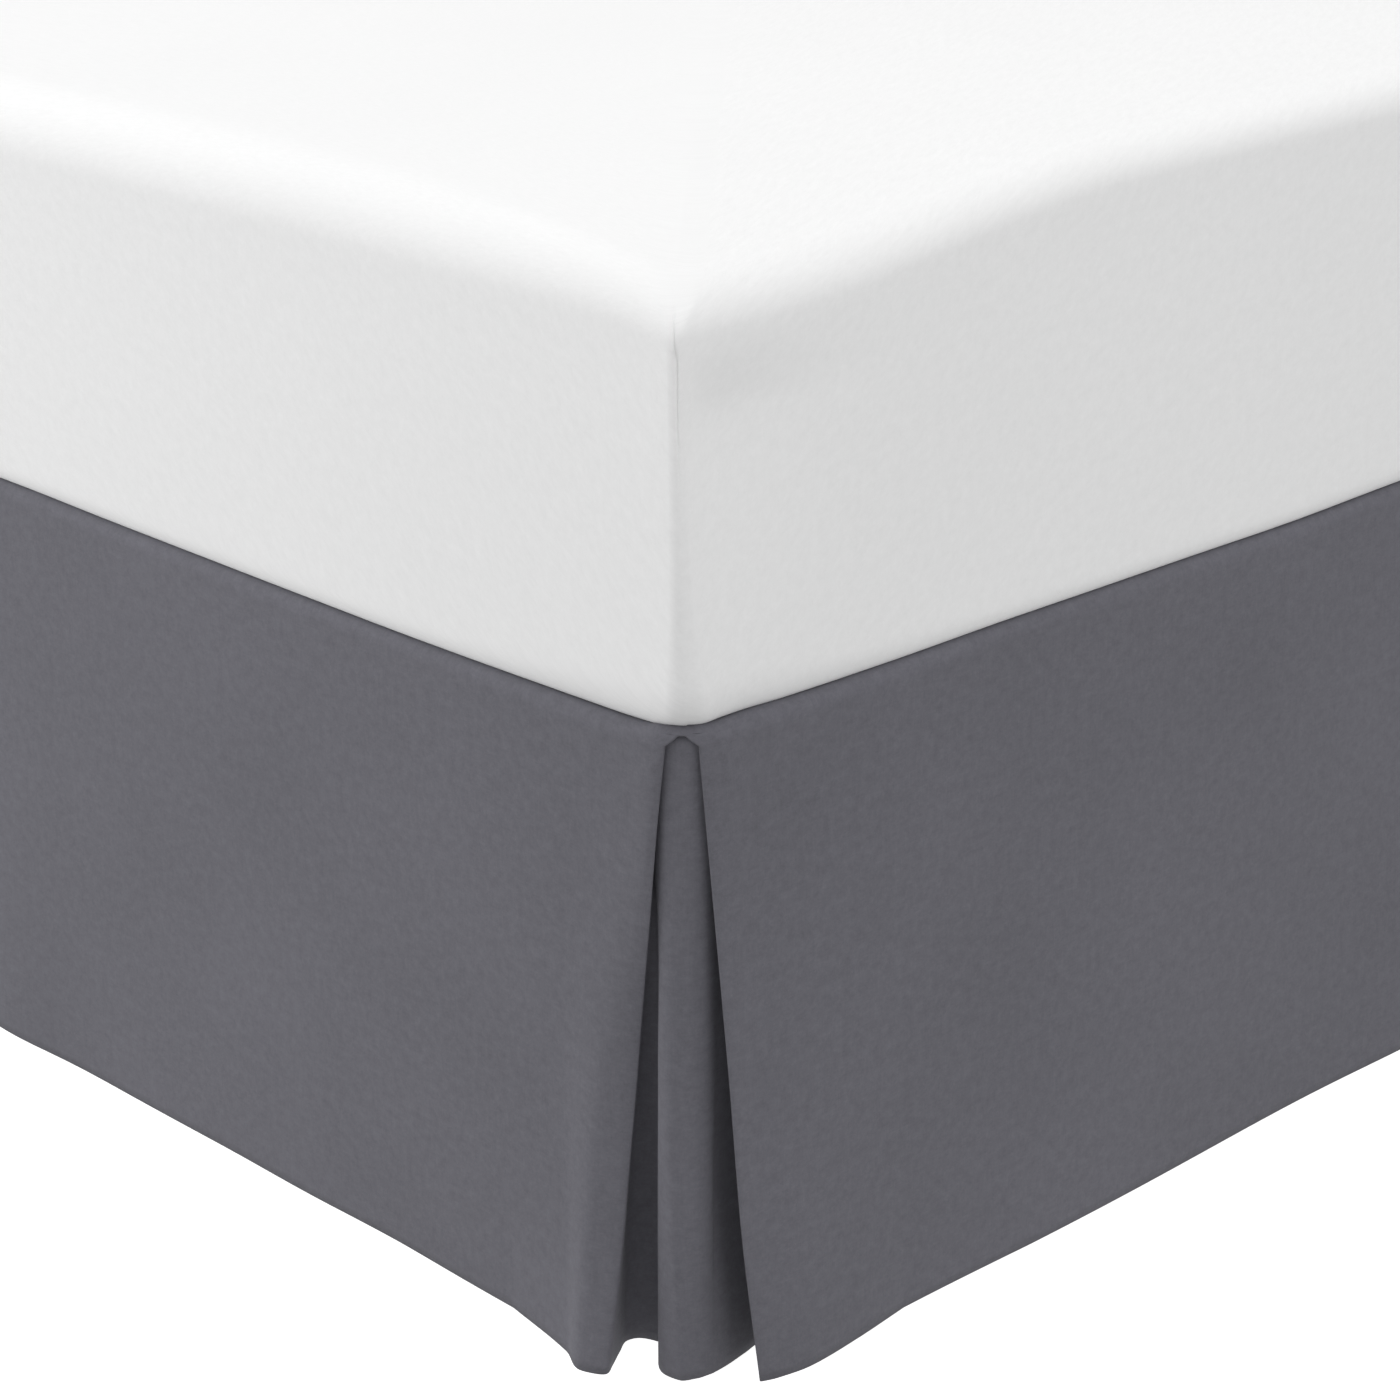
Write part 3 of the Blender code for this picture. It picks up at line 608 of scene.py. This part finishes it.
def blockMap(points):
    # cloth map of a block of rings: length round each ring, and length from the underside's middle
    girth = lengthsAlong(np.concatenate([points, points[:, :1]], axis=1))[:, :-1]
    return np.stack([girth, lengthsAlong(points.transpose(1, 0, 2)).T], axis=2)


mattressShape = {
    "halfX": 0.762, "halfY": 1.016, "middleY": 0.0085, "low": 0.3821, "edgeTop": 0.6235, "bulge": 0.0012,
    # rounds of the edges: the bottom one has an amount everywhere and one added near the corners
    "lowRoundUp": (0.011, 0.014), "lowRoundIn": (0.0044, 0.0036), "nearCorner": 0.12,
    "footRound": 0.037, "cornerRound": 0.026, "sideRound": 0.022,
    # rounds of the upright corners: in the middle, at the bottom, and what the top edge adds
    "corner": 0.0065, "lowCorner": 0.016, "lowCornerHeight": 0.20,
    "topCornerMore": 0.012, "topCornerHeight": 0.018,
    # corner seam: size, the heights it comes in and goes out at, and its kink to one side
    "seamDepth": 0.0009, "seamHalfWidth": 0.00040, "seamStart": (0.50, 0.58), "seamEnd": (0.609, 0.617),
    "kinkHeights": (0.592, 0.599), "kinkShift": 0.0014,
    # hollow in the side faces: reach and depth, the part of it left at the corner, and its heights
    "hollowReach": 0.09, "hollowDepth": 0.0045, "hollowAtCorner": 0.15, "hollowFade": 0.03,
    "sideFaceDepth": 0.05, "hollowStart": (0.40, 0.56), "hollowEnd": (0.555, 0.600),
    # crown of the top, and how its edge droops next to the corners, along the side and along the foot
    "crown": 0.0127, "crownStart": 0.03, "crownReach": 0.16, "droopHeights": (0.47, 0.60),
    "sideDroop": 0.021, "sideDroopEnd": (0.06, 0.33), "sideDroopReach": 0.10,
    "footDroop": 0.008, "footDroopIn": 0.045, "footDroopAlong": 0.10,
    # how far up and in the bottom edge carries the skirt's rise and fall
    "liftHeight": 0.12, "liftReach": 0.08,
    "underRows": 6, "underSpacing": 0.7, "lowRows": 9, "sideRows": 50, "roundRows": 18,
    "topRows": 26, "topSpacing": 1.8, "counts": (90, 110, 30),
}


def mattressGrid(m):
    # rings from the middle of the underside, out, up the side, over the rounded edge and in to the middle of
    # the top: which part each ring is on, how far along that part, how far in from the side, and its plan
    under = np.linspace(0, 1, m["underRows"] + 1)[:-1] ** m["underSpacing"]
    low = np.linspace(0, math.pi / 2, m["lowRows"])
    side = np.linspace(0, 1, m["sideRows"] + 2)[1:-1]
    top = np.linspace(0, math.pi / 2, m["roundRows"])
    inner = np.linspace(0, 1, m["topRows"] + 1)[1:] ** m["topSpacing"]
    part = np.concatenate([under * 0, low * 0 + 1, side * 0 + 2, top * 0 + 3, inner * 0 + 4])[:, None]
    t = np.concatenate([under, low, side, top, inner])[:, None]
    radius = m["corner"] + 0 * t[:, 0]
    x, y = roundedRing(m["halfX"] + 0 * t[:, 0], m["halfY"] + 0 * t[:, 0], radius, m["counts"])
    # 1 at the corners, falling to 0 along the edges: the bottom edge turns under further there
    near = np.exp(-(np.maximum(m["halfX"] - np.abs(x), m["halfY"] - np.abs(y)) / m["nearCorner"]) ** 2)
    roundIn = m["lowRoundIn"][0] + m["lowRoundIn"][1] * near
    roundUp = m["lowRoundUp"][0] + m["lowRoundUp"][1] * near
    inset = np.select(
        [part == 0, part == 1, part == 2],
        [m["halfX"] + (roundIn - m["halfX"]) * t, roundIn * (1 - np.sin(t)), -4 * m["bulge"] * t * (1 - t)],
    )
    return part, t, inset, roundUp, near, x, y


def buildMattress(m):
    part, t, inset, roundUp, near, x, y = mattressGrid(m)
    low = m["low"] + roundUp
    # how far round its corner a point is: 0 on the foot and head, 1 on the sides
    cornerX = m["halfX"] - m["corner"]
    cornerY = m["halfY"] - m["corner"]
    nx = np.clip(np.abs(x) - cornerX, 0, None)
    ny = np.clip(np.abs(y) - cornerY, 0, None)
    share = nx ** 2 / np.maximum(nx ** 2 + ny ** 2, 1e-12)
    footRound = m["footRound"] + (m["cornerRound"] - m["footRound"]) * near
    edgeRound = footRound + (m["sideRound"] - footRound) * share
    inset = (
        inset + np.where(part == 3, edgeRound * (1 - np.cos(t)), 0)
        + np.where(part == 4, edgeRound + (m["halfX"] - edgeRound) * t, 0)
    )
    sideTop = m["edgeTop"] - edgeRound
    z = np.select(
        [part == 0, part == 1, part == 2, part == 3, part == 4],
        [m["low"] + 0 * x, low - roundUp * np.cos(t), low + (sideTop - low) * t,
         sideTop + edgeRound * np.sin(t), m["edgeTop"] + 0 * x],
    )
    # carry each point inwards: straight faces move square, corners keep a share of their round
    reachX = m["halfX"] - inset
    reachY = m["halfY"] - inset
    risen = np.clip((z - m["low"]) / m["lowCornerHeight"], 0, 1)
    cornerNow = m["corner"] + (m["lowCorner"] - m["corner"]) * (1 - risen) ** 3
    nearTop = smoothStep(z, m["edgeTop"] - m["topCornerHeight"], m["edgeTop"])
    cornerNow = cornerNow + m["topCornerMore"] * nearTop
    cornerNow = np.minimum(cornerNow, np.maximum(reachX, 0))
    innerX, innerY = np.maximum(reachX - cornerNow, 0), np.maximum(reachY - cornerNow, 0)
    dirX = np.sign(x) * nx / np.maximum(np.hypot(nx, ny), 1e-9)
    dirY = np.sign(y) * ny / np.maximum(np.hypot(nx, ny), 1e-9)
    alongX = np.clip(x / cornerX, -1, 1)
    alongY = np.clip(y / cornerY, -1, 1)
    px = innerX * alongX + cornerNow * dirX
    py = innerY * alongY + cornerNow * dirY
    fromX, fromY = m["halfX"] - np.abs(px), m["halfY"] - np.abs(py)
    fromEdge = np.minimum(fromX, fromY)
    # the sheet's corner seam: a narrow groove down the upper part of each corner, with a kink near its top
    cornerRun = cornerNow * (np.arctan2(ny, np.maximum(nx, 1e-9)) - math.pi / 4)
    kink = m["kinkShift"] * smoothStep(z, *m["kinkHeights"]) - m["kinkShift"] / 2
    groove = m["seamDepth"] * np.exp(-((cornerRun - kink) / m["seamHalfWidth"]) ** 2)
    groove = groove * smoothStep(z, *m["seamStart"]) * (1 - smoothStep(z, *m["seamEnd"]))
    groove = groove * ((nx > 0) & (ny > 0))
    # the side faces sink in a little under the top edge next to the corner, and come out again lower down
    hollow = m["hollowDepth"] * np.exp(-(fromY / m["hollowReach"]) ** 2)
    atCorner = m["hollowAtCorner"] + (1 - m["hollowAtCorner"]) * smoothStep(fromY, 0.0, m["hollowFade"])
    hollow = hollow * atCorner * (fromX < m["sideFaceDepth"])
    hollow = hollow * (1 - smoothStep(z, *m["hollowEnd"])) * smoothStep(z, *m["hollowStart"])
    px = px - dirX * groove - np.sign(px) * hollow
    py = py - dirY * groove
    # crowned top, lower at the corners, and the bottom edge follows the skirt's top edge
    crownShare = 1 - np.exp(-np.maximum(fromEdge - m["crownStart"], 0) / m["crownReach"])
    z = z + m["crown"] * crownShare * (part >= 3)
    sideDroop = m["sideDroop"] * (1 - smoothStep(fromY, *m["sideDroopEnd"]))
    sideDroop = sideDroop * np.exp(-fromX / m["sideDroopReach"])
    footDroop = m["footDroop"] * np.exp(-fromX / m["footDroopIn"]) * np.exp(-fromY / m["footDroopAlong"])
    droop = np.maximum(sideDroop, footDroop) * smoothStep(z, *m["droopHeights"])
    along = np.where(fromX < fromY, fromY, -fromX)
    lift = topLift(along) * (1 - smoothStep(z, m["low"], m["low"] + m["liftHeight"]))
    lift = lift * np.exp(-fromEdge / m["liftReach"])
    z = z - droop + lift
    return np.stack([px, py + m["middleY"], z], axis=2)


mattressPoints = buildMattress(mattressShape)
mattressMap = blockMap(mattressPoints)
mattress = closeSeams(gridPiece("mattressInSheet", mattressPoints, whiteCloth, mattressMap, around=True))
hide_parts("mattress")
print("bed skirt: mattress laid")

# ---- box spring, inside the drops
springShape = {
    "halfX": 0.752, "halfY": 1.006, "middleY": 0.0085, "low": 0.152, "high": 0.3805, "corner": 0.090,
    "lowRound": 0.006, "topRound": 0.016, "bulge": 0.0008, "underRows": 5, "lowRows": 8, "sideRows": 12,
    "counts": (60, 70, 20),
}


def springPoints(m):
    # rings from the middle of the underside out, up the slightly full side and in to the middle of the top
    across = np.linspace(1, 0, m["underRows"] + 1)[:-1]
    turn = np.linspace(0, math.pi / 2, m["lowRows"])
    side = np.linspace(0, 1, m["sideRows"] + 2)[1:-1]
    low, top = m["lowRound"], m["topRound"]
    inset = np.concatenate([
        low + (m["halfX"] - low) * across, low * (1 - np.sin(turn)), 4 * m["bulge"] * (side ** 2 - side),
        top * (1 - np.cos(turn)), top + (m["halfX"] - top) * across[::-1],
    ])
    height = np.concatenate([
        m["low"] + 0 * across, m["low"] + low * (1 - np.cos(turn)),
        m["low"] + low + (m["high"] - top - m["low"] - low) * side,
        m["high"] - top * (1 - np.sin(turn)), m["high"] + 0 * across,
    ])
    radius = np.clip(m["corner"] - inset, 0, np.maximum(m["halfX"] - inset, 0))
    x, y = roundedRing(m["halfX"] - inset, m["halfY"] - inset, radius, m["counts"])
    return np.stack([x, y + m["middleY"], height[:, None] + 0 * x], axis=2)


spring = springPoints(springShape)
boxSpring = closeSeams(gridPiece("boxSpring", spring, ticking, blockMap(spring), around=True))
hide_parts("box_spring")
print("bed skirt: box spring placed")

# ---- deck sheet between box spring and mattress, ending at the drops' lips
deckShape = {
    "halfX": 0.7478, "footY": -0.9933, "headY": 1.0103, "corner": 0.022, "height": 0.3815, "cloth": 0.0006,
    "counts": (60, 70, 12), "rings": 30,
}


def deckPoints(m):
    # rings of a flat sheet with rounded corners, each a share of the outline, from its middle outwards
    share = np.linspace(0, 1, m["rings"] + 1)
    halfY = (m["headY"] - m["footY"]) / 2
    inset = m["halfX"] * (1 - share)
    radius = np.clip(m["corner"] + 0 * inset, 0, m["halfX"] - inset)
    x, y = roundedRing(m["halfX"] - inset, halfY - inset, radius, m["counts"])
    return np.stack([x, y + (m["headY"] + m["footY"]) / 2, m["height"] + 0 * x], axis=2)


deck = deckPoints(deckShape)
deckSheet = closeSeams(gridPiece("skirtDeck", deck, deckCloth, deck[..., :2], around=True, inwards=True))
thicken(deckSheet, deckShape["cloth"])
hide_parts("deck")
print("bed skirt: deck laid")

# ---- steel frame: its rails and legs are painted
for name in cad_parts:
    if name.startswith(("rail_", "cross_rail_", "leg_")):
        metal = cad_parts[name]
        metal.data.materials.clear()
        metal.data.materials.append(steelPaint)
